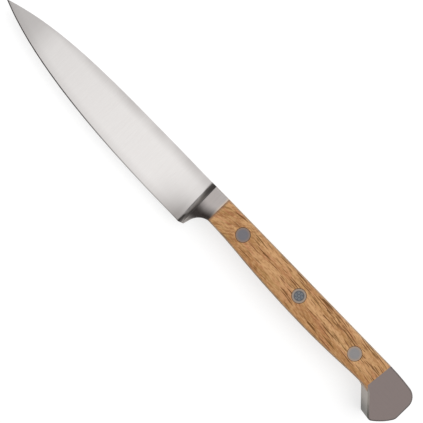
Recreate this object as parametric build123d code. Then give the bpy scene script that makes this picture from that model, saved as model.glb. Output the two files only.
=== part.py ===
from build123d import *
import os
from math import cos, pi, radians, sin, sqrt, tan

# A forged paring knife that lies on its far side. All lengths are in millimetres.
# While it is built, X = 0 is the front of the bolster, Y = 0 is the straight line of the
# spine and Z = 0 is the middle of its thickness. X runs from the point to the butt, Y up to
# the spine and Z out of the near side. At the end the whole knife is moved, so that its
# origin lies under the middle of its box, on the surface that it rests on.

# Blade
blade_length = 100.0  # from the point to the front of the bolster
blade_depth = 18.8  # from the spine to the cutting edge, at the heel
point_drop = 7.3  # how far the point lies below the line of the spine
spine_thickness = 2.2  # at the bolster
point_thickness = 0.5  # what the spine's taper would leave at the point
edge_thickness = 0.36  # behind the sharpened bevel
bevel_height = 0.45  # of the sharpened bevel
spine_power = 4.7  # how late the spine turns down: 1 is a straight line
edge_power = 2.65  # how late the cutting edge turns up
belly_share = 0.15  # of its rise that comes later still, close to the point
belly_power = 8.0  # how late that share comes
root_length = 0.5  # how far the blade's sides run into the bolster, at the heel
blade_station_shares = (0.1, 0.25, 0.4, 0.54, 0.67, 0.78, 0.87, 0.94, 0.985)

# Handle, with the steel parts that are ground flush with it
handle_thickness = 13.5
handle_rounding = 0.9  # of all its long edges
scale_length = 82.75  # bolster to pommel, along the spine
grip_front_depth = 10.75  # spine to belly, where the wood meets the bolster
grip_middle_depth = 12.8  # at the belly's lowest place
grip_rear_depth = 11.75  # at the waist ahead of the beak
belly_place_share = 0.605  # where the belly is lowest, along the wood
waist_place_share = 0.96  # where the waist is, along the wood
belly_turn_share = 0.3  # where the belly's front curve turns over, from bolster to belly
waist_turn_share = 0.7  # and where its rear curve does, from belly to waist

# Pommel
pommel_lean = 1.0  # how far the joint with the wood leans forward at its lower end
pommel_joint_depth = 10.65  # where that joint turns into the beak's front face
beak_angle = 45.0  # degrees, of the beak's front face
tail_length = 2.4  # how much of the beak's front face the wood covers
tail_rounding = 1.4  # of the hollow where the wood's underside meets that face
beak_overshoot = 0.75  # how far the beak's unrounded corner lies below the blade's heel
beak_softness = 0.9  # how much rounder its corner is than the handle's long edges
pommel_length = 14.8  # along the spine
crown_drop = 1.3  # fall of the pommel's top, from the wood to the butt
crown_rounding = 4.9  # between its top and the butt
butt_depth = 12.1  # where the flat butt ends, below the spine
butt_rounding = 3.0  # between the butt and the pommel's lower rear side
underside_bulge = 0.65  # of that side, away from a straight line

# Bolster
bolster_length = 8.7  # along the spine
bolster_front_thickness = 9.4  # of its flanks, continued to the blade
bolster_leg_thickness = 3.0  # at the heel
flank_depth = 6.8  # where its flanks start to draw in towards the heel, at the blade
flank_rounding = 0.9  # of its top edges, at the front
front_lean = 0.9  # how far its front leans back at the heel
leg_length = 3.4  # along X, at the heel
heel_rise = 0.8  # of the leg's foot, from front to back
notch_start_shares = (0.134, 0.37)  # end of the leg's straight back, from heel to wood
cove_length = 2.2  # of the hollow between blade and flank, along X
cove_sag_share = 0.13  # depth of the hollow's arc, as a share of its chord
cove_lead = 0.35  # how far ahead of the bolster's front the hollow's arc starts
cove_margin = 0.5  # how far the hollow's arc runs out past the flank
cove_bed_share = 0.6  # of the blade's thickness, where the hollow's arc starts
cove_level_shares = (0.35, 0.6, 0.8)  # of the blade's depth, where the hollow is drawn
flank_steps = 6  # points along each flank's curve down to the heel

# Tang
tang_thickness = 2.8

# Rivets
rivet_head_diameter = 5.5
rivet_head_height = 1.3
rivet_edge_break = 0.15
rivet_barrel_diameter = 4.0
rivet_bore_diameter = 2.6
rivet_clearance = 0.03  # between each shank and its hole
barrel_end_gap = 0.5  # from the barrel's mouth to the other half's head
pin_end_gap = 0.4  # from the pin's tip to the bottom of the bore
rivet_names = ("front", "middle", "rear")
rivet_place_shares = (0.151, 0.507, 0.852)  # along the wood
rivet_depth_shares = (0.42, 0.48, 0.488)  # of the handle's depth in its middle

# All cuts run past what they cut by this much
overrun = 2.0


# Sizes that follow from those above
half_handle = handle_thickness / 2
half_tang = tang_thickness / 2
beak_direction = (cos(radians(beak_angle)), -sin(radians(beak_angle)))
root_place = front_lean + root_length
joint_top = bolster_length + scale_length
beak_rounding = handle_rounding + beak_softness
joint_low = (joint_top - pommel_lean, -pommel_joint_depth)
tail_corner = (
    joint_low[0] + tail_length * beak_direction[0],
    joint_low[1] + tail_length * beak_direction[1],
)
beak_depth = blade_depth + beak_overshoot
beak_corner = (
    joint_low[0] + (beak_depth - pommel_joint_depth) / tan(radians(beak_angle)),
    -beak_depth,
)
butt_place = joint_top + pommel_length
head_hole_radius = rivet_head_diameter / 2 + rivet_clearance
barrel_hole_radius = rivet_barrel_diameter / 2 + rivet_clearance
STANDING = (Align.CENTER, Align.CENTER, Align.MIN)


def blend(start, end, share):
    """The value at a share of the way from one size to another."""
    return start + (end - start) * share


def mirrored(corners):
    """A closed outline's upper corners, followed by their mirror images below the axis."""
    return list(corners) + [(a, -b) for a, b in reversed(corners) if b > 0]


def tangent_arcs(start, direction, *points):
    """Arcs from point to point, each leaving in the direction that the last one arrived."""
    arcs = []
    for point in points:
        arc = TangentArc(start, point, tangent=direction)
        arcs.append(arc)
        start = point
        direction = arc % 1
    return arcs


def belly_arcs():
    """The handle's underside: out to the belly, in to the waist and out to the beak."""
    length = tail_corner[0] - bolster_length
    front = Vector(bolster_length, -grip_front_depth)
    belly = Vector(bolster_length + length * belly_place_share, -grip_middle_depth)
    waist = Vector(bolster_length + length * waist_place_share, -grip_rear_depth)
    front_turn = blend(front, belly, belly_turn_share)
    rear_turn = blend(belly, waist, waist_turn_share)
    return tangent_arcs(front, (1, 0), front_turn, belly, rear_turn, waist, Vector(*tail_corner))


def handle_outline():
    """Side view of everything behind the bolster: wood, tang and pommel as one shape."""
    top_front = Vector(bolster_length, 0)
    top_rear = Vector(joint_top, 0)
    crown = Vector(butt_place, -crown_drop)
    butt = Vector(butt_place, -butt_depth)
    beak = Vector(*beak_corner)
    tail = Vector(*tail_corner)
    underside = butt - beak
    bulge = Vector(underside.Y, -underside.X).normalized() * underside_bulge
    belly = belly_arcs()
    lines = [
        Line(top_front, top_rear),
        TangentArc(top_rear, crown, tangent=(1, 0)),
        Line(crown, butt),
        ThreePointArc(butt, blend(beak, butt, 1 / 2) + bulge, beak),
        Line(beak, tail),
        *belly,
        Line(belly[0] @ 0, top_front),
    ]
    face = Sketch() + make_face(lines)
    for corner, rounding in (
        (crown, crown_rounding),
        (butt, butt_rounding),
        (beak, beak_rounding),
        (tail, tail_rounding),
    ):
        face = fillet(face.vertices().sort_by_distance(corner)[0], rounding)
    return face


def handle_block():
    """The whole handle as one solid, rounded along its outline on both sides."""
    half = extrude(handle_outline(), half_handle)
    rims = half.faces().sort_by(Axis.Z)[-1].edges()
    front = rims.sort_by(Axis.X)[0]
    half = fillet(rims - [front], handle_rounding)
    return half + mirror(half, about=Plane.XY)


def scale_space():
    """All of the near side's space that the wood may fill, from the tang outwards."""
    below = -beak_depth - overrun
    outline = Polyline(
        (bolster_length, overrun),
        (joint_top + pommel_lean * overrun / pommel_joint_depth, overrun),
        joint_low,
        tail_corner,
        (tail_corner[0], below),
        (bolster_length, below),
        close=True,
    )
    face = Pos(0, 0, half_tang) * make_face(outline)
    return extrude(face, half_handle + overrun)


def spine_drop(share):
    """How far the spine has fallen at a share of the blade's length from the bolster."""
    return point_drop * max(share, 0) ** spine_power


def edge_depth(share):
    """How far the cutting edge lies below the spine's line at the same place."""
    along = max(share, 0)
    risen = blend(along ** edge_power, along ** belly_power, belly_share)
    return blend(blade_depth, point_drop, risen)


def blade_section(share):
    """Wedge across the blade: flat ground from the spine to the bevel's shoulder."""
    half_spine = blend(spine_thickness, point_thickness, share) / 2
    spine = -spine_drop(share)
    edge = -edge_depth(share)
    shoulder = edge + min(bevel_height, (spine - edge) / 2)
    corners = [(spine, half_spine), (shoulder, edge_thickness / 2), (edge, 0)]
    plane = Plane.YZ.offset(-share * blade_length)
    return plane * make_face(Polyline(*mirrored(corners), close=True))


def blade():
    """The blade, lofted through its sections and closed by a ruled point."""
    shares = (-root_place / blade_length,) + blade_station_shares
    sections = [blade_section(share) for share in shares]
    point = Vertex(-blade_length, -point_drop, 0)
    return loft(sections) + loft([sections[-1], point], ruled=True)


def flank_half(width, start, depth):
    """Half thickness of a flank that draws in to the heel along half a cosine wave."""
    share = min(max((depth - start) / (blade_depth - start), 0), 1)
    return blend(width, bolster_leg_thickness, (1 - cos(pi * share)) / 2) / 2


def bolster_section(place, width, start, rounding):
    """Cross-section of the bolster's flanks, with rounded top edges, at a place along X."""
    half = width / 2
    low = blade_depth + overrun
    depths = [blend(start, blade_depth, step / flank_steps) for step in range(flank_steps + 1)]
    drawn_in = [(-depth, flank_half(width, start, depth)) for depth in depths]
    corner = half - rounding
    diagonal = rounding * (1 - sqrt(0.5))
    sides = []
    for sign in (1, -1):
        side = [(a, sign * b) for a, b in drawn_in]
        foot = side[-1]
        sides.append([
            ThreePointArc(
                (0, sign * corner), (-diagonal, sign * (half - diagonal)), (-rounding, sign * half)
            ),
            Line((-rounding, sign * half), side[0]),
            Spline(*side, tangents=((-1, 0), (-1, 0))),
            Line(foot, (-low, foot[1])),
        ])
    foot_half = bolster_leg_thickness / 2
    bottom = Line((-low, foot_half), (-low, -foot_half))
    top = Line((0, -corner), (0, corner))
    edges = sides[0] + [bottom] + sides[1][::-1] + [top]
    return Plane.YZ.offset(place) * make_face(edges)


def notch_lines():
    """The finger notch: up the leg's straight back, then round to the belly."""
    heel = Vector(leg_length, heel_rise - blade_depth)
    end = Vector(bolster_length, -grip_front_depth)
    along, up = notch_start_shares
    start = Vector(blend(heel.X, end.X, along), blend(heel.Y, end.Y, up))
    back = Line(heel, start)
    return [back, TangentArc(start, end, tangent=back % 1)]


def bolster_outline():
    """Side view of the bolster: its front, the leg down to the heel and the finger notch."""
    back, notch = notch_lines()
    rise = front_lean / blade_depth
    front_top = (-rise * overrun, overrun)
    heel_front = (front_lean, -blade_depth)
    heel_flat = (root_place, -blade_depth)
    lines = [
        Line(front_top, heel_front),
        Line(heel_front, heel_flat),
        Line(heel_flat, back @ 0),
        back,
        notch,
        Line(notch @ 1, (bolster_length, overrun)),
        Line((bolster_length, overrun), front_top),
    ]
    return make_face(lines)


def cove_section(depth):
    """Level cut through the space that the near hollow takes away, at a depth."""
    down = depth / blade_depth
    start = front_lean * down - cove_lead
    end = start + cove_lead + cove_length
    bed = cove_bed_share * blend(spine_thickness, edge_thickness, min(max(down, 0), 1)) / 2
    flank = blend(
        flank_half(bolster_front_thickness, flank_depth, depth),
        flank_half(handle_thickness, grip_front_depth, depth),
        cove_length / bolster_length,
    )
    rim = flank + cove_margin
    outer = half_handle + overrun
    chord = Vector(end - start, rim - bed)
    sag = Vector(chord.Y, -chord.X) * cove_sag_share
    middle = Vector(start, bed) + chord / 2 + sag
    lines = [
        Line((start - overrun, bed), (start, bed)),
        ThreePointArc((start, bed), middle, (end, rim)),
        Line((end, rim), (end, outer)),
        Line((end, outer), (start - overrun, outer)),
        Line((start - overrun, outer), (start - overrun, bed)),
    ]
    return Plane.XZ.offset(depth) * make_face(lines)


def bolster():
    """The full bolster: tapering flanks, a thin leg, two hollows and the finger notch."""
    front = bolster_section(-overrun, bolster_front_thickness, flank_depth, flank_rounding)
    rear = bolster_section(bolster_length, handle_thickness, grip_front_depth, handle_rounding)
    flanks = loft([front, rear], ruled=True)
    body = flanks & extrude(bolster_outline(), half_handle + overrun, both=True)
    back, notch = notch_lines()
    faces = [body.faces().sort_by_distance(line @ 0.5)[0] for line in (back, notch)]
    edges = [edge for face in faces for edge in face.edges()]
    rims = [edge for edge in edges if (edge @ 0).Z * (edge @ 1).Z > 0]
    body = fillet(rims, handle_rounding)
    levels = [share * blade_depth for share in cove_level_shares]
    hollow = loft([cove_section(depth) for depth in [-overrun] + levels + [blade_depth + overrun]])
    return body - hollow - mirror(hollow, about=Plane.XY)


def forging(block, wood_space):
    """Blade, bolster, full tang and pommel: one forged piece of steel."""
    core = block - wood_space - mirror(wood_space, about=Plane.XY)
    steel = blade() + bolster() + core
    for place, depth in rivet_places():
        steel -= Pos(place, -depth, 0) * Cylinder(barrel_hole_radius, tang_thickness + overrun)
    return steel


def near_scale(block, wood_space):
    """The near side's wood, with a stepped hole for each rivet."""
    wood = block & wood_space
    seat = half_handle - rivet_head_height
    head_hole = Cylinder(head_hole_radius, rivet_head_height + overrun, align=STANDING)
    barrel_hole = Cylinder(barrel_hole_radius, half_handle + overrun, align=STANDING)
    for place, depth in rivet_places():
        wood -= Pos(place, -depth, seat) * head_hole
        wood -= Pos(place, -depth, 0) * barrel_hole
    return wood


def rivet_places():
    """Place along X and depth below the spine of each rivet, from front to rear."""
    places = []
    for along, down in zip(rivet_place_shares, rivet_depth_shares):
        places.append((bolster_length + scale_length * along, grip_middle_depth * down))
    return places


def rivet_head():
    """A flat head with its outer rim broken, its outer face flush with the handle's side."""
    head = Cylinder(rivet_head_diameter / 2, rivet_head_height, align=STANDING)
    rim = head.edges().filter_by(GeomType.CIRCLE).sort_by(Axis.Z)[-1]
    return Pos(0, 0, half_handle - rivet_head_height) * chamfer(rim, rivet_edge_break)


def rivet_socket():
    """Head and tubular barrel, standing on the far half's head except for a small gap."""
    seat = half_handle - rivet_head_height
    mouth = -seat + barrel_end_gap
    barrel = Cylinder(rivet_barrel_diameter / 2, seat - mouth, align=STANDING)
    bore = Cylinder(rivet_bore_diameter / 2, seat - mouth, align=STANDING)
    return rivet_head() + Pos(0, 0, mouth) * (barrel - bore)


def rivet_pin():
    """Head and solid pin, which fills the barrel's bore except for a small gap."""
    seat = half_handle - rivet_head_height
    pin_radius = rivet_bore_diameter / 2 - rivet_clearance
    pin = Cylinder(pin_radius, 2 * seat - pin_end_gap, align=STANDING)
    return mirror(rivet_head(), about=Plane.XY) + Pos(0, 0, -seat) * pin


def build():
    """Every piece by its name, still in the frame of the bolster and the spine."""
    block = handle_block()
    wood_space = scale_space()
    wood = near_scale(block, wood_space)
    pieces = {
        "forged_blade": forging(block, wood_space),
        "near_scale": wood,
        "far_scale": mirror(wood, about=Plane.XY),
    }
    for name, (place, depth) in zip(rivet_names, rivet_places()):
        pieces[name + "_rivet_socket"] = Pos(place, -depth, 0) * rivet_socket()
        pieces[name + "_rivet_pin"] = Pos(place, -depth, 0) * rivet_pin()
    return pieces


def main():
    pieces = build()
    box = pieces["forged_blade"].bounding_box()
    origin = Vector(box.center().X, box.center().Y, -half_handle)
    os.makedirs("parts", exist_ok=True)
    for name, piece in pieces.items():
        export_step(Pos(-origin) * piece, "parts/" + name + ".step")
    print("Origin in the frame of the bolster and the spine:", origin)


main()
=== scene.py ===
from math import cos, pi, radians, sin

import bpy
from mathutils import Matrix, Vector


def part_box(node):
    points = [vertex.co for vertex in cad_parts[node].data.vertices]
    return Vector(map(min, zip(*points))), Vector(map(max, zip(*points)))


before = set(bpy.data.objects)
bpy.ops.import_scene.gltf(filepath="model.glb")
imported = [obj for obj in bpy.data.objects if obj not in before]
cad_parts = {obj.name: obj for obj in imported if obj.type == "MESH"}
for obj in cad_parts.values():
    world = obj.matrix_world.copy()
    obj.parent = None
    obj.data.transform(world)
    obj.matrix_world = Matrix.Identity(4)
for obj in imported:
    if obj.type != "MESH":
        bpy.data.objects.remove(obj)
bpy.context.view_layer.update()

# The forged paring knife lies on its far side: X runs from the point to the butt, Y up to the
# spine and Z out of the near side. Sizes, places and the patterns of the materials are written
# in millimetres, and MM turns them into the metres of the scene.
MM = 0.001

# Sizes of the knife that the boxes of its pieces do not tell
bolster_length = 8.7
front_lean = 0.9
cove_length = 2.2
blade_depth = 18.8
point_drop = 7.3
bevel_height = 0.45

# Curve of the cutting edge: it rises late, and a share of the rise comes close to the point
edge_power = 2.65
belly_power = 8.0
belly_share = 0.15

# How the camera stood over the knife for the photograph
frame_width = 154.0
camera_distance = 296.5
knife_turn = radians(45.90)
view_behind_bolster_front = 7.4
view_below_spine = 7.59
sensor_width = 36.0
nearest_shown = 10.0

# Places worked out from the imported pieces
wood_low, wood_high = [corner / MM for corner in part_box("near_scale")]
steel_low, steel_high = [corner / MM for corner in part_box("forged_blade")]
half_thickness = steel_high.z / 2
spine = wood_high.y
wood_front = wood_low.x
pommel_front = wood_high.x
bolster_front = wood_front - bolster_length
blade_point = steel_low.x
blade_length = bolster_front - blade_point

# Tones of the steel, as they look on a screen, from 0 to 255
satin_groove = (233, 229, 227)
satin_ridge = (242, 239, 237)
# Painted shade over the blade, towards the spine, the cutting edge, the point and the heel
satin_in_painted_shade = (186, 181, 179)
point_painted_shade = (164, 159, 157)
heel_painted_shade = (138, 132, 129)
# Painted shade on the sharpened bevel
bevel_painted_shade = (70, 66, 64)
# Painted dark reflection in the cove between blade and bolster, with a painted dark line at the
# heel
upper_cove_start = (134, 130, 127)
lower_cove_start = (230, 223, 218)
upper_cove_end = (80, 75, 72)
lower_cove_end = (146, 140, 136)
heel_line = (70, 65, 62)
heel_face = (154, 148, 144)
flank_groove = (192, 185, 182)
flank_ridge = (220, 212, 209)
# Painted warm highlight on the bolster where it meets the wood
painted_highlight_by_wood = (232, 214, 198)
# Painted shade under the bolster, which turns pale down the leg at the heel
shadow_groove = (34, 29, 28)
shadow_ridge = (78, 71, 68)
pale_leg = (178, 172, 168)
matt_groove = (130, 118, 115)
matt_ridge = (150, 138, 135)
brushed_groove = (142, 137, 134)
brushed_ridge = (190, 185, 181)
pale_beak = (168, 161, 154)
# Painted shadow at the tip of the beak's front
beak_tip_painted_shadow = (98, 96, 90)
# Painted shade on the steel's long rounded edges
steel_edge_painted_shade = (120, 118, 118)
# Painted shade on the pommel's rounded edges that face down and back
under_rear_painted_shade = (66, 62, 60)

# Tones of the oak
dark_band = (170, 122, 74)
pale_band = (204, 158, 110)
dark_fibre = (142, 92, 48)
pale_fleck = (212, 166, 116)
reddish_oak = (176, 112, 78)
olive_oak = (154, 122, 66)
dark_curl = (142, 94, 54)
pale_curl = (208, 162, 114)
dark_mottle = (144, 96, 54)
pale_mottle = (208, 166, 122)
pore_brown = (100, 64, 26)
# Painted grey shade on the oak's rounded edges
oak_edge_painted_shade = (162, 144, 122)
stained_front = (118, 90, 70)

# Patterns of the oak: lengths along the fibres, over the near side and through the scale
band_lengths = (34.0, 2.4, 3.0)
fibre_lengths = (8.0, 0.3, 0.3)
fleck_lengths = (2.2, 0.6, 1.2)
mottle_lengths = (1.6, 0.5, 0.5)
red_cloud_lengths = (9.0, 1.5, 2.0)
olive_cloud_lengths = (10.0, 1.2, 2.0)
bend_lengths = (20.0, 6.0, 6.0)
crowd_lengths = (16.0, 2.2, 2.2)
stroke_lengths = (3.6, 0.8, 1.0)
stroke_turn = radians(38)
fleck_turn = radians(12)

# Where in the endless noise a pattern of the oak lies, so that no two patterns coincide
mottle_place = (19, 7, 3)
red_cloud_place = (11, 5, 3)
olive_cloud_place = (71, 41, 23)
crowd_place = (5, 9, 2)

# Open vessels of the oak: length and width of a cell that may hold one, and where they lie
long_vessels = (10.0, 0.48, 3.0)
short_vessels = (4.8, 0.42, 47.0)
rear_vessels = (17.0, 0.56, 71.0)

# Rivets: tone of each head, and the plain mosaic pin in the middle one
rivet_tones = {"front": (122, 120, 125), "middle": (128, 127, 128), "rear": (146, 143, 143)}
rivet_line_turn = radians(20)
rim_change = (34, 10, -14)
rim_starts, rim_full = 1.5, 2.75
mosaic_case = (158, 152, 148)
mosaic_filling = (96, 100, 105)
mosaic_tube = (138, 140, 143)
filling_full, filling_ends = 1.75, 2.15
tube_ring_radius = 1.12
tube_radius = 0.30
tube_wall, tube_softness = 0.05, 0.14
tubes_in_ring = 6


# Node helpers

def put(tree, kind, inputs=(), **settings):
    """Adds a node. Each input is a plain value or the output socket that feeds it."""
    node = tree.nodes.new(kind)
    for name, value in settings.items():
        setattr(node, name, value)
    for name, value in dict(inputs).items():
        feed(tree, node.inputs[name], value)
    return node


def feed(tree, socket, value):
    """Sets a socket to a value, or joins it to the output that feeds it."""
    if isinstance(value, bpy.types.NodeSocket):
        tree.links.new(value, socket)
    else:
        socket.default_value = value


def maths(tree, operation, *values, clamp=False):
    """One step of arithmetic on one to three values."""
    node = put(tree, "ShaderNodeMath", operation=operation, use_clamp=clamp)
    for socket, value in zip(node.inputs, values):
        feed(tree, socket, value)
    return node.outputs[0]


def vector_maths(tree, operation, *vectors):
    """One step of arithmetic on one or two vectors, as the node's outputs."""
    node = put(tree, "ShaderNodeVectorMath", operation=operation)
    for socket, vector in zip(node.inputs, vectors):
        feed(tree, socket, vector)
    return node.outputs


def product(tree, total, *factors):
    """A value multiplied by each of the others."""
    for factor in factors:
        total = maths(tree, "MULTIPLY", total, factor)
    return total


def ramp(tree, value, start, end, low=0.0, high=1.0, smooth=True):
    """Carries a value from start..end to low..high, eased at both ends."""
    kind = "SMOOTHSTEP" if smooth else "LINEAR"
    span = {"Value": value, "From Min": start, "From Max": end, "To Min": low, "To Max": high}
    return put(tree, "ShaderNodeMapRange", span, interpolation_type=kind).outputs["Result"]


def fading(tree, value, start, end, high=1.0):
    """Carries a value from start..end to high..0, eased at both ends."""
    return ramp(tree, value, start, end, low=high, high=0.0)


def blend_values(tree, share, first, second):
    """A number between two others."""
    node = put(tree, "ShaderNodeMix", data_type="FLOAT")
    feed(tree, node.inputs[0], share)
    feed(tree, node.inputs[2], first)
    feed(tree, node.inputs[3], second)
    return node.outputs[0]


def mix(tree, share, first, second):
    """A colour between two others. Each is an output socket, or a tone from 0 to 255."""
    node = put(tree, "ShaderNodeMix", data_type="RGBA")
    feed(tree, node.inputs[0], share)
    for socket, colour in ((node.inputs[6], first), (node.inputs[7], second)):
        feed(tree, socket, as_seen(*colour) if isinstance(colour, tuple) else colour)
    return node.outputs[2]


def as_seen(red, green, blue):
    """A tone as it looks on a screen, from 0 to 255, as the shader wants it."""
    shares = [value / 255 for value in (red, green, blue)]
    curved = [s / 12.92 if s <= 0.04045 else ((s + 0.055) / 1.055) ** 2.4 for s in shares]
    return (*curved, 1.0)


def place_in_millimetres(tree):
    """Object coordinates as a vector in millimetres."""
    place = put(tree, "ShaderNodeTexCoord").outputs["Object"]
    return vector_maths(tree, "MULTIPLY", place, (1 / MM, 1 / MM, 1 / MM))["Vector"]


def parts_of(tree, vector):
    """The X, Y and Z of a vector."""
    parts = put(tree, "ShaderNodeSeparateXYZ", {"Vector": vector}).outputs
    return parts["X"], parts["Y"], parts["Z"]


def facing(tree):
    """The surface's own direction in the knife's frame, as three parts."""
    return parts_of(tree, put(tree, "ShaderNodeTexCoord").outputs["Normal"])


def turned(tree, vector, angle):
    """A vector turned about Z."""
    inputs = {"Vector": vector, "Angle": angle}
    return put(tree, "ShaderNodeVectorRotate", inputs, rotation_type="Z_AXIS").outputs["Vector"]


def stretched(tree, vector, lengths, centre=(0, 0, 0), turn=0.0):
    """A vector moved to a centre, turned about Z and divided by the pattern's lengths."""
    moved = vector_maths(tree, "SUBTRACT", vector, centre)["Vector"]
    return vector_maths(tree, "DIVIDE", turned(tree, moved, -turn), lengths)["Vector"]


def noise(tree, vector, lengths, centre=(0, 0, 0), turn=0.0, detail=2.0):
    """Soft noise from 0 to 1, whose cells have these lengths along X, Y and Z."""
    inputs = {
        "Vector": stretched(tree, vector, lengths, centre, turn), "Scale": 1.0, "Detail": detail,
    }
    return put(tree, "ShaderNodeTexNoise", inputs).outputs["Fac"]


def distance_from(tree, vector, across=0.0, up=0.0):
    """Distance in X and Y from a point, whatever the height."""
    away = vector_maths(tree, "SUBTRACT", vector, (across, up, 0))["Vector"]
    flat = vector_maths(tree, "MULTIPLY", away, (1, 1, 0))["Vector"]
    return vector_maths(tree, "LENGTH", flat)["Value"]


# Shared effects, each built once as a group

def group_tree(name, inputs, outputs):
    """An empty shader group with named inputs and outputs: its tree, its inputs, its end."""
    tree = bpy.data.node_groups.new(name, "ShaderNodeTree")
    for label, kind, default in inputs:
        socket = tree.interface.new_socket(label, in_out="INPUT", socket_type="NodeSocket" + kind)
        if default is not None:
            socket.default_value = default
    for label, kind in outputs:
        tree.interface.new_socket(label, in_out="OUTPUT", socket_type="NodeSocket" + kind)
    return tree, tree.nodes.new("NodeGroupInput").outputs, tree.nodes.new("NodeGroupOutput")


def build_grinding():
    """Ground steel: fine lines along X of the vector, in three widths laid over each other.

    Lines come out as 0 to 1 round 0.5, and Cloud is a slow change over the surface."""
    tree, given, result = group_tree(
        "grinding",
        (("Vector", "Vector", None), ("Length", "Float", 20.0), ("Width", "Float", 0.2)),
        (("Lines", "Float"), ("Cloud", "Float")),
    )
    # Each set's share of the pattern, and how many times the finest lines it is long and wide
    sets_of_lines = ((0.45, 1.0), (0.33, 2.7), (0.22, 7.0))
    cloud_lengths = (14.0, 9.0, 9.0)
    total = None
    for share, times in sets_of_lines:
        length = product(tree, given["Length"], times)
        width = product(tree, given["Width"], times)
        size = put(tree, "ShaderNodeCombineXYZ", {"X": length, "Y": width, "Z": width})
        lines = noise(tree, given["Vector"], size.outputs[0], detail=1.0)
        part = product(tree, lines, share)
        total = part if total is None else maths(tree, "ADD", total, part)
    cloud = noise(tree, given["Vector"], cloud_lengths)
    tree.links.new(total, result.inputs["Lines"])
    tree.links.new(cloud, result.inputs["Cloud"])
    return tree


def build_rounded_edge():
    """1 where a surface turns away from the flat side, on the rounded long edges, else 0."""
    flat, rounded = 0.985, 0.8
    upright, leaning = 0.02, 0.25
    tree, _, result = group_tree("rounded_edge", (), (("Edge", "Float"),))
    level = maths(tree, "ABSOLUTE", facing(tree)[2])
    turning = ramp(tree, level, flat, rounded)
    not_upright = ramp(tree, level, upright, leaning)
    tree.links.new(product(tree, turning, not_upright), result.inputs["Edge"])
    return tree


grinding = build_grinding()
rounded_edge = build_rounded_edge()


def ground_lines(tree, vector, length, width):
    """The shared grinding, placed in a material with its own lines: its two outputs."""
    inputs = {"Vector": vector, "Length": length, "Width": width}
    outputs = put(tree, "ShaderNodeGroup", inputs, node_tree=grinding).outputs
    return outputs["Lines"], outputs["Cloud"]


def on_rounded_edge(tree):
    """The shared mask of the rounded long edges, placed in a material."""
    return put(tree, "ShaderNodeGroup", node_tree=rounded_edge).outputs["Edge"]


def new_material(name):
    """A material with one Principled shader, and its tree."""
    material = bpy.data.materials.new(name)
    material.use_nodes = True
    tree = material.node_tree
    tree.nodes.clear()
    shader = tree.nodes.new("ShaderNodeBsdfPrincipled")
    put(tree, "ShaderNodeOutputMaterial", {"Surface": shader.outputs[0]})
    return material, tree, shader


def raised(tree, height, strength, depth):
    """The normal of a surface with this height pattern, whose full depth is in millimetres."""
    inputs = {"Height": height, "Strength": strength, "Distance": depth * MM}
    return put(tree, "ShaderNodeBump", inputs).outputs["Normal"]


# Forged steel

def below_spine(tree, y):
    """Depth below the spine."""
    return maths(tree, "SUBTRACT", spine, y)


def along_bolster(tree, x, y):
    """X from the bolster's front, which leans back a little towards the heel."""
    leaned = maths(tree, "MULTIPLY_ADD", below_spine(tree, y), -front_lean / blade_depth, x)
    return maths(tree, "SUBTRACT", leaned, bolster_front)


def above_cutting_edge(tree, x, y):
    """Height over the curve of the cutting edge."""
    before_heel = maths(tree, "SUBTRACT", bolster_front, x)
    share = maths(tree, "DIVIDE", before_heel, blade_length, clamp=True)
    steady = maths(tree, "POWER", share, edge_power)
    late = maths(tree, "POWER", share, belly_power)
    risen = blend_values(tree, belly_share, steady, late)
    edge_at_heel = spine - blade_depth
    edge = maths(tree, "MULTIPLY_ADD", risen, blade_depth - point_drop, edge_at_heel)
    return maths(tree, "SUBTRACT", y, edge)


def blade_tone(tree, x, y, lines, cloud):
    """Satin grinding, with painted shade towards spine, edge, point and heel, and painted shade
    on the sharpened bevel.
    """
    spine_reach, edge_reach = 4.8, 4.0
    point_full, point_reach = 12.0, 26.0
    heel_full, heel_reach = 1.0, 20.0
    heel_faint_depth, heel_dark_depth = 6.0, 18.0
    bevel_soft_below, bevel_soft_above = 0.07, 0.05
    bevel_fades, bevel_faint = 70.0, 5.0

    depth = below_spine(tree, y)
    height = above_cutting_edge(tree, x, y)
    colour = mix(tree, ramp(tree, lines, 0.2, 0.8), satin_groove, satin_ridge)
    uneven = ramp(tree, cloud, 0.3, 0.7, low=0.75, high=1.25)
    # Painted shade towards the spine, uneven along it, and towards the cutting edge
    by_spine = fading(tree, depth, 0.0, spine_reach, high=0.58)
    colour = mix(tree, product(tree, by_spine, uneven), colour, satin_in_painted_shade)
    colour = mix(tree, fading(tree, height, 0.0, edge_reach, high=0.3), colour, satin_in_painted_shade)
    # Painted shade towards the point
    by_point = fading(tree, x, blade_point + point_full, blade_point + point_reach, high=0.45)
    colour = mix(tree, by_point, colour, point_painted_shade)

    # Painted shade by the heel, stronger lower down
    heel_starts, heel_ends = bolster_front - heel_reach, bolster_front - heel_full
    nearing = maths(tree, "POWER", ramp(tree, x, heel_starts, heel_ends, smooth=False), 2.0)
    more_below = ramp(tree, depth, heel_faint_depth, heel_dark_depth, low=0.22)
    colour = mix(tree, product(tree, nearing, 0.78, more_below), colour, heel_painted_shade)

    # Painted shade on the sharpened bevel, fainter towards the heel
    soft_starts, soft_ends = bevel_height - bevel_soft_below, bevel_height + bevel_soft_above
    on_bevel = fading(tree, height, soft_starts, soft_ends)
    fade_starts, fade_ends = bolster_front - bevel_fades, bolster_front - bevel_faint
    fainter = ramp(tree, x, fade_starts, fade_ends, low=1.0, high=0.3)
    return mix(tree, product(tree, on_bevel, fainter), colour, bevel_painted_shade)


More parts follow.
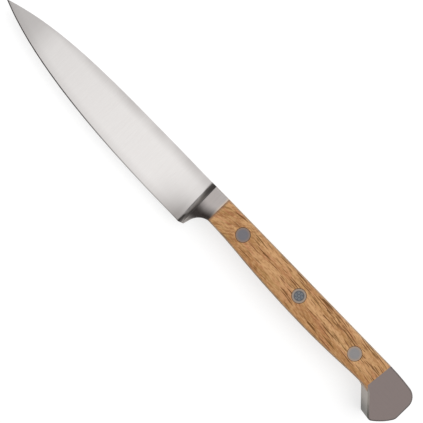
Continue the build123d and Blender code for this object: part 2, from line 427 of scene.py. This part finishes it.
def cove_painted_reflection(tree, along, y):
    """The hollow between blade and bolster: the mask of it, and its tone, painted as dark
    reflection.

    The mask starts softly and ends at the flank. The painted tone darkens towards the flank, is
    paler in the lower half than by the spine, and has a painted dark line along the blade at the
    heel."""
    lower_starts, lower_ends = 3.0, 9.0
    heel_starts, heel_ends = 13.0, 16.0
    upper_start, lower_start = -0.35, 0.0
    upper_full, lower_full, heel_full = 0.3, 1.4, 0.5
    soft_before_flank, soft_past_flank = 0.1, 0.25
    first_ends, last_starts = 0.3, 1.5
    line_ends, face_starts = 0.7, 1.5

    depth = below_spine(tree, y)
    lower = ramp(tree, depth, lower_starts, lower_ends)
    at_heel = ramp(tree, depth, heel_starts, heel_ends)
    start = blend_values(tree, lower, upper_start, lower_start)
    full = blend_values(tree, lower, upper_full, lower_full)
    full = blend_values(tree, at_heel, full, heel_full)
    past_start = maths(tree, "SUBTRACT", along, start)
    soft_width = maths(tree, "SUBTRACT", full, start)
    into = ramp(tree, maths(tree, "DIVIDE", past_start, soft_width), 0.0, 1.0)
    flank_starts, flank_full = cove_length - soft_before_flank, cove_length + soft_past_flank
    before_flank = fading(tree, along, flank_starts, flank_full)

    first = mix(tree, lower, upper_cove_start, lower_cove_start)
    last = mix(tree, lower, upper_cove_end, lower_cove_end)
    tone = mix(tree, ramp(tree, along, first_ends, last_starts), first, last)
    heel_tone = mix(tree, ramp(tree, along, line_ends, face_starts), heel_line, heel_face)
    return product(tree, into, before_flank), mix(tree, at_heel, tone, heel_tone)


def flank_tone(tree, x, lines):
    """The bolster's brushed flank, with a painted warm highlight where it meets the wood."""
    line_width, line_full, line_softness = 0.9, 0.1, 0.3
    colour = mix(tree, lines, flank_groove, flank_ridge)
    line_starts = ramp(tree, x, wood_front - line_width, wood_front - line_full)
    line_ends = fading(tree, x, wood_front, wood_front + line_softness)
    return mix(tree, product(tree, line_starts, line_ends), colour, painted_highlight_by_wood)


def on_lower_bolster(tree, x, y):
    """1 on the lower bolster, where it gets painted shade, reached softly, and a little higher up
    by the wood.
    """
    dark_starts, dark_full = 5.6, 11.2
    rise_by_wood, rise_reach = 1.2, 4.0
    cove_left, cove_passed = 1.6, 2.4
    fades_before_wood, gone_behind_front = 1.0, 7.0
    higher = ramp(tree, x, wood_front - rise_reach, wood_front, high=rise_by_wood)
    depth = maths(tree, "ADD", below_spine(tree, y), higher)
    reached = ramp(tree, depth, dark_starts, dark_full)
    behind_cove = ramp(tree, x, bolster_front + cove_left, bolster_front + cove_passed)
    fade_starts, fade_ends = wood_front - fades_before_wood, wood_front + gone_behind_front
    return product(tree, reached, behind_cove, fading(tree, x, fade_starts, fade_ends))


def lower_bolster_painted_shade(tree, along, y, lines):
    """The bolster's underside painted dark as shade, turning pale down the leg at the heel."""
    leg_starts, leg_full = 12.6, 17.0
    line_ends, face_starts = 0.9, 1.7
    colour = mix(tree, lines, shadow_groove, shadow_ridge)
    down_leg = ramp(tree, below_spine(tree, y), leg_starts, leg_full)
    past_heel_line = ramp(tree, along, line_ends, face_starts)
    return mix(tree, product(tree, down_leg, past_heel_line), colour, pale_leg)


def pommel_finish_and_painted_shade(tree, colour, y, on_pommel, matt_lines, brushed_lines):
    """Matt sides, brushed upright faces, a pale front to the beak with a painted shadow at its
    tip, and painted shade on the long rounded edges and under the rear.
    """
    slant = 0.7
    beak_tip_starts, beak_tip_full = 13.6, 18.4
    across_x, across_y, up = facing(tree)
    edge = on_rounded_edge(tree)

    matt = mix(tree, matt_lines, matt_groove, matt_ridge)
    colour = mix(tree, on_pommel, colour, matt)
    upright = ramp(tree, maths(tree, "ABSOLUTE", up), 0.35, 0.12)
    brushed = mix(tree, brushed_lines, brushed_groove, brushed_ridge)
    colour = mix(tree, product(tree, upright, on_pommel), colour, brushed)

    to_front = product(tree, maths(tree, "ADD", across_x, across_y), -slant)
    beak_front = product(tree, ramp(tree, to_front, 0.1, 0.5), on_pommel)
    # The beak's front darkens towards its tip with a painted shadow
    down_beak = ramp(tree, below_spine(tree, y), beak_tip_starts, beak_tip_full, high=0.9)
    colour = mix(tree, beak_front, colour, mix(tree, down_beak, pale_beak, beak_tip_painted_shadow))

    # Painted shade on the long rounded edges, stronger on the pommel and left off the beak's
    # front
    painted_rim_shade = product(tree, edge, ramp(tree, on_pommel, 0.0, 1.0, low=0.1, high=0.3))
    painted_rim_shade = product(tree, painted_rim_shade, maths(tree, "SUBTRACT", 1.0, beak_front))
    colour = mix(tree, painted_rim_shade, colour, steel_edge_painted_shade)

    # Painted shade on the rounded edges that face down and back
    to_rear = product(tree, maths(tree, "SUBTRACT", across_x, across_y), slant)
    under_rear = product(tree, ramp(tree, to_rear, 0.1, 0.45), on_pommel, edge, 0.8)
    return mix(tree, under_rear, colour, under_rear_painted_shade)


def make_forged_steel():
    """One forging: satin blade, brushed bolster and matt pommel, with painted shade over the
    blade, under the bolster and on the pommel, and painted dark reflection in the cove.
    """
    pommel_change, change_to_joint = 26.0, 4.0
    flank_softness = 0.3
    material, tree, shader = new_material("forged_steel_finish_and_painted_shade")
    place = place_in_millimetres(tree)
    x, y, _ = parts_of(tree, place)
    along = along_bolster(tree, x, y)

    # The blade and the bolster are ground across, from spine to edge, and the pommel along
    across = turned(tree, place, -pi / 2)
    blade_lines, blade_cloud = ground_lines(tree, across, length=30.0, width=0.11)
    bolster_lines, _ = ground_lines(tree, across, length=5.0, width=0.22)
    pommel_lines, _ = ground_lines(tree, place, length=3.0, width=0.14)

    # The change to the pommel's finish is hidden between the scales, but for the tang's edges
    change_starts, change_ends = pommel_front - pommel_change, pommel_front - change_to_joint
    on_pommel = ramp(tree, x, change_starts, change_ends)
    behind_cove = ramp(tree, along, cove_length, cove_length + flank_softness)
    on_bolster = product(tree, behind_cove, fading(tree, x, change_starts, change_ends))

    colour = blade_tone(tree, x, y, blade_lines, blade_cloud)
    in_cove, cove_painted_tone = cove_painted_reflection(tree, along, y)
    colour = mix(tree, in_cove, colour, cove_painted_tone)
    colour = mix(tree, on_bolster, colour, flank_tone(tree, x, bolster_lines))
    underside = lower_bolster_painted_shade(tree, along, y, bolster_lines)
    colour = mix(tree, on_lower_bolster(tree, x, y), colour, underside)
    colour = pommel_finish_and_painted_shade(tree, colour, y, on_pommel, pommel_lines, bolster_lines)
    feed(tree, shader.inputs["Base Color"], colour)
    shader.inputs["Metallic"].default_value = 1.0

    satin = ramp(tree, blade_lines, 0.3, 0.7, low=0.27, high=0.33, smooth=False)
    matt = ramp(tree, pommel_lines, 0.3, 0.7, low=0.42, high=0.52)
    rough = blend_values(tree, on_bolster, satin, 0.38)
    feed(tree, shader.inputs["Roughness"], blend_values(tree, on_pommel, rough, matt))

    lines = blend_values(tree, on_bolster, blade_lines, bolster_lines)
    lines = blend_values(tree, on_pommel, lines, pommel_lines)
    feed(tree, shader.inputs["Normal"], raised(tree, lines, strength=0.15, depth=0.02))
    return material


# Oak

def oak_grain(tree, place, x):
    """The place in the log: its Y is constant along a fibre.

    Fibres rise from the bolster, turn level and then sink towards the butt, and bend a little."""
    curl_reach, curl_rise, sinking = 28.0, -2.0, -0.0008
    behind_front = maths(tree, "SUBTRACT", x, wood_front)
    passed = maths(tree, "DIVIDE", behind_front, curl_reach)
    curl = maths(tree, "SUBTRACT", 1.0, passed, clamp=True)
    rise = product(tree, maths(tree, "POWER", curl, 3.0), curl_rise)
    squared = maths(tree, "POWER", maths(tree, "MAXIMUM", behind_front, 0.0), 2.0)
    sink = product(tree, squared, sinking)
    bend = noise(tree, place, bend_lengths)
    wander = ramp(tree, bend, 0.2, 0.8, low=-0.8, high=0.8, smooth=False)
    course = maths(tree, "ADD", maths(tree, "ADD", rise, sink), wander)
    shift = put(tree, "ShaderNodeCombineXYZ", {"Y": product(tree, course, -1.0)})
    return vector_maths(tree, "ADD", place, shift.outputs[0])["Vector"]


def vessel_dashes(tree, grain, length, width, start, kept):
    """Cut vessels of one size: a slim dash in the middle of each kept cell along the fibres."""
    cells = stretched(tree, grain, (length, width, width), centre=(start, start, start))
    cell = put(tree, "ShaderNodeTexVoronoi", {"Vector": cells, "Scale": 1.0}).outputs
    chance = put(tree, "ShaderNodeSeparateColor", {"Color": cell["Color"]}).outputs["Red"]
    dash = fading(tree, cell["Distance"], 0.28, 0.42)
    return product(tree, dash, maths(tree, "LESS_THAN", chance, kept))


def open_pores(tree, grain, x, y):
    """Open vessels as thin dark dashes: few by the bolster, more and longer ones far back."""
    few_end, many_start = 10.0, 26.0
    rear_start, rear_full = 46.0, 60.0
    middle_depth, upper_depth = 7.0, 2.0
    crowd = noise(tree, grain, crowd_lengths, crowd_place, detail=1.0)
    often = ramp(tree, crowd, 0.35, 0.62, low=0.22, high=0.72)
    far_back = ramp(tree, x, wood_front + few_end, wood_front + many_start, low=0.25)
    high_up = ramp(tree, below_spine(tree, y), middle_depth, upper_depth, low=0.8, high=1.1)
    kept = product(tree, often, far_back, high_up)
    by_pommel = ramp(tree, x, wood_front + rear_start, wood_front + rear_full, high=0.46)

    long_ones = vessel_dashes(tree, grain, *long_vessels, kept)
    short_ones = vessel_dashes(tree, grain, *short_vessels, product(tree, kept, 0.8))
    rear_ones = vessel_dashes(tree, grain, *rear_vessels, by_pommel)
    fainter = product(tree, short_ones, 0.8)
    return maths(tree, "MAXIMUM", maths(tree, "MAXIMUM", long_ones, fainter), rear_ones)


def curly_figure(tree, place, x):
    """Slanting strokes of curled fibre by the bolster, as masks of dark and of pale ones."""
    curl_full, curl_reach = 8.0, 26.0
    near = fading(tree, x, wood_front + curl_full, wood_front + curl_reach)
    strokes = noise(tree, place, stroke_lengths, turn=stroke_turn, detail=3.0)
    dark = product(tree, near, ramp(tree, strokes, 0.5, 0.6))
    pale = product(tree, near, ramp(tree, strokes, 0.46, 0.36))
    return dark, pale


def oak_figure(tree, place, grain, x, fibres):
    """The oak's tone: bands, fibres, flecks, clouds, curly strokes and mottling."""
    clouds_full, clouds_faint = 2.0, 40.0
    bands = noise(tree, grain, band_lengths, detail=3.0)
    colour = mix(tree, ramp(tree, bands, 0.35, 0.65), dark_band, pale_band)
    colour = mix(tree, ramp(tree, fibres, 0.5, 0.66, high=0.4), colour, dark_fibre)
    flecks = noise(tree, grain, fleck_lengths, turn=fleck_turn)
    colour = mix(tree, ramp(tree, flecks, 0.56, 0.7, high=0.4), colour, pale_fleck)

    # Reddish and olive clouds, strongest where the grain curls by the bolster
    cloud_start, cloud_end = wood_front + clouds_full, wood_front + clouds_faint
    near = ramp(tree, x, cloud_start, cloud_end, low=1.0, high=0.5)
    red = noise(tree, grain, red_cloud_lengths, red_cloud_place)
    reddish = product(tree, near, ramp(tree, red, 0.5, 0.62, high=0.7))
    colour = mix(tree, reddish, colour, reddish_oak)
    olive = noise(tree, grain, olive_cloud_lengths, olive_cloud_place)
    greenish = product(tree, near, ramp(tree, olive, 0.5, 0.66, high=0.6))
    colour = mix(tree, greenish, colour, olive_oak)

    dark_strokes, pale_strokes = curly_figure(tree, place, x)
    colour = mix(tree, product(tree, dark_strokes, 0.65), colour, dark_curl)
    colour = mix(tree, product(tree, pale_strokes, 0.4), colour, pale_curl)

    mottle = noise(tree, grain, mottle_lengths, mottle_place, detail=3.0)
    colour = mix(tree, ramp(tree, mottle, 0.5, 0.64, high=0.5), colour, dark_mottle)
    return mix(tree, ramp(tree, mottle, 0.48, 0.36, high=0.35), colour, pale_mottle)


def make_oak():
    """Oiled oak with its figure, open pores and painted grey shade on its rounded edges."""
    front_stain = 1.1
    material, tree, shader = new_material("oak_finish_and_painted_shade")
    place = place_in_millimetres(tree)
    x, y, _ = parts_of(tree, place)
    grain = oak_grain(tree, place, x)
    fibres = noise(tree, grain, fibre_lengths)
    pores = open_pores(tree, grain, x, y)

    colour = oak_figure(tree, place, grain, x, fibres)
    colour = mix(tree, product(tree, pores, 0.9), colour, pore_brown)

    # Painted grey shade on the rounded edges, and the front end darker
    oak_edge_shade_mask = product(tree, on_rounded_edge(tree), 0.6)
    colour = mix(tree, oak_edge_shade_mask, colour, oak_edge_painted_shade)
    at_front = fading(tree, x, wood_front, wood_front + front_stain, high=0.8)
    colour = mix(tree, at_front, colour, stained_front)

    feed(tree, shader.inputs["Base Color"], colour)
    feed(tree, shader.inputs["Roughness"], blend_values(tree, pores, 0.46, 0.75))
    shader.inputs["Specular IOR Level"].default_value = 0.4
    height = maths(tree, "SUBTRACT", product(tree, fibres, 0.3), pores)
    feed(tree, shader.inputs["Normal"], raised(tree, height, strength=0.35, depth=0.06))
    return material


# Rivets

def mosaic(tree, local, radius, colour):
    """A plain mosaic pin: a light tube, a dark filling and seven small light tubes in it."""
    filling = fading(tree, radius, filling_full, filling_ends)
    colour = mix(tree, filling, mosaic_case, mosaic_filling)
    turns = [step * 2 * pi / tubes_in_ring for step in range(tubes_in_ring)]
    ring = [(tube_ring_radius * cos(turn), tube_ring_radius * sin(turn)) for turn in turns]
    tubes = None
    for across, up in [(0.0, 0.0)] + ring:
        reach = distance_from(tree, local, across, up)
        from_wall = maths(tree, "ABSOLUTE", maths(tree, "SUBTRACT", reach, tube_radius))
        tube = fading(tree, from_wall, tube_wall, tube_softness)
        tubes = tube if tubes is None else maths(tree, "MAXIMUM", tubes, tube)
    return mix(tree, tubes, colour, mosaic_tube)


def make_rivet_steel(name, centre, tone, mosaic_pin):
    """A rivet head ground flush with the wood: lines one way, and a rim of its own tone."""
    material, tree, shader = new_material(name)
    place = place_in_millimetres(tree)
    middle = (centre.x, centre.y, 0)
    local = stretched(tree, place, (1, 1, 1), centre=middle, turn=rivet_line_turn)
    lines, _ = ground_lines(tree, local, length=4.0, width=0.13)
    radius = distance_from(tree, local)

    groove = tuple(value * 0.86 for value in tone)
    ridge = tuple(value * 1.12 for value in tone)
    colour = mix(tree, lines, groove, ridge)
    if mosaic_pin:
        colour = mosaic(tree, local, radius, colour)
    warm_rim = tuple(value + change for value, change in zip(tone, rim_change))
    colour = mix(tree, ramp(tree, radius, rim_starts, rim_full, high=0.75), colour, warm_rim)
    feed(tree, shader.inputs["Base Color"], colour)
    shader.inputs["Metallic"].default_value = 1.0
    feed(tree, shader.inputs["Roughness"], ramp(tree, lines, 0.3, 0.7, low=0.36, high=0.46))
    feed(tree, shader.inputs["Normal"], raised(tree, lines, strength=0.3, depth=0.02))
    return material


def dress(node, material):
    """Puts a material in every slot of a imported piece."""
    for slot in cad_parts[node].material_slots:
        slot.material = material


def dress_rivet(where, tone):
    """One finish for both halves of a rivet, centred on its head."""
    low, high = [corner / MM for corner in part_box(where + "_rivet_socket")]
    centre = (low + high) / 2
    finish = make_rivet_steel(where + "_rivet_finish", centre, tone, where == "middle")
    dress(where + "_rivet_socket", finish)
    dress(where + "_rivet_pin", finish)


dress("forged_blade", make_forged_steel())
oak = make_oak()
dress("near_scale", oak)
dress("far_scale", oak)
for where, tone in rivet_tones.items():
    dress_rivet(where, tone)


# Floor, light and camera

def shown_white(tree):
    """1 for the rays that show the background itself: to the camera, in gloss, through glass."""
    path = put(tree, "ShaderNodeLightPath").outputs
    seen = maths(tree, "MAXIMUM", path["Is Camera Ray"], path["Is Glossy Ray"])
    return maths(tree, "MAXIMUM", seen, path["Is Transmission Ray"])


def make_floor():
    """A wide pale floor that shows white and keeps the knife's soft shadow."""
    reach = 3000 * MM
    paper, shadow_share, glow_strength = 0.8, 0.38, 0.68
    corners = [(-reach, -reach, 0), (reach, -reach, 0), (reach, reach, 0), (-reach, reach, 0)]
    mesh = bpy.data.meshes.new("floor")
    mesh.from_pydata(corners, [], [(0, 1, 2, 3)])
    floor = bpy.data.objects.new("floor", mesh)
    bpy.context.scene.collection.objects.link(floor)

    material = bpy.data.materials.new("floor_paper")
    material.use_nodes = True
    tree = material.node_tree
    tree.nodes.clear()
    plain = put(tree, "ShaderNodeBsdfDiffuse", {"Color": (paper, paper, paper, 1)})
    shaded_colour = (shadow_share, shadow_share, shadow_share, 1)
    shaded = put(tree, "ShaderNodeBsdfDiffuse", {"Color": shaded_colour})
    glow = put(tree, "ShaderNodeEmission", {"Color": (1, 1, 1, 1), "Strength": glow_strength})
    white = put(tree, "ShaderNodeAddShader", {0: shaded.outputs[0], 1: glow.outputs[0]})
    shares = {0: shown_white(tree), 1: plain.outputs[0], 2: white.outputs[0]}
    both = put(tree, "ShaderNodeMixShader", shares)
    put(tree, "ShaderNodeOutputMaterial", {"Surface": both.outputs[0]})
    mesh.materials.append(material)


def make_world():
    """White all round for the eye; a plain grey studio for the light that falls on the knife.

    Gloss sees the studio grow darker from above to the horizon, and the large light over the
    knife end beyond its point."""
    world = bpy.data.worlds.new("studio")
    bpy.context.scene.world = world
    world.use_nodes = True
    tree = world.node_tree
    tree.nodes.clear()
    horizon, overhead, highest = 0.05, 0.6, 0.8
    light_ends, dark_starts = -0.24, -0.58
    path = put(tree, "ShaderNodeLightPath").outputs
    towards = put(tree, "ShaderNodeTexCoord").outputs["Generated"]
    towards_butt, _, upwards = parts_of(tree, towards)
    studio = ramp(tree, upwards, horizon, overhead, low=0.16)
    past_point = ramp(tree, towards_butt, light_ends, dark_starts, high=0.8)
    dimmed = product(tree, past_point, ramp(tree, upwards, overhead, highest))
    studio = product(tree, studio, maths(tree, "SUBTRACT", 1.0, dimmed))

    in_gloss = product(tree, studio, path["Is Glossy Ray"])
    seen = maths(tree, "MAXIMUM", path["Is Camera Ray"], path["Is Transmission Ray"])
    shown = maths(tree, "MAXIMUM", seen, in_gloss)
    seen_or_gloss = maths(tree, "MAXIMUM", seen, path["Is Glossy Ray"])
    strength = blend_values(tree, seen_or_gloss, 0.5, shown)
    light = put(tree, "ShaderNodeBackground", {"Color": (1, 1, 1, 1), "Strength": strength})
    put(tree, "ShaderNodeOutputWorld", {"Surface": light.outputs[0]})


def make_key_light():
    """A very large soft key light from beyond the spine and the butt, high above the knife."""
    lamp = bpy.data.lights.new("key_light", "SUN")
    lamp.energy = 1.85
    lamp.angle = radians(55)
    key = bpy.data.objects.new("key_light", lamp)
    bpy.context.scene.collection.objects.link(key)
    towards_light = Vector((0.42, 0.42, 1.0))
    key.rotation_euler = towards_light.to_track_quat("Z", "Y").to_euler()
    key.visible_glossy = False


def make_camera():
    """Straight above the knife, turned so that it slopes down to the right as photographed."""
    camera_data = bpy.data.cameras.new("camera")
    camera_data.sensor_width = sensor_width
    camera_data.lens = sensor_width * camera_distance / frame_width
    camera_data.clip_start = nearest_shown * MM
    camera = bpy.data.objects.new("camera", camera_data)
    bpy.context.scene.collection.objects.link(camera)
    over_x = bolster_front + view_behind_bolster_front
    over_y = spine - view_below_spine
    camera.location = Vector((over_x, over_y, half_thickness + camera_distance)) * MM
    camera.rotation_euler = (0, 0, knife_turn)
    bpy.context.scene.camera = camera


make_floor()
make_world()
make_key_light()
make_camera()
bpy.context.scene.view_settings.view_transform = "Standard"
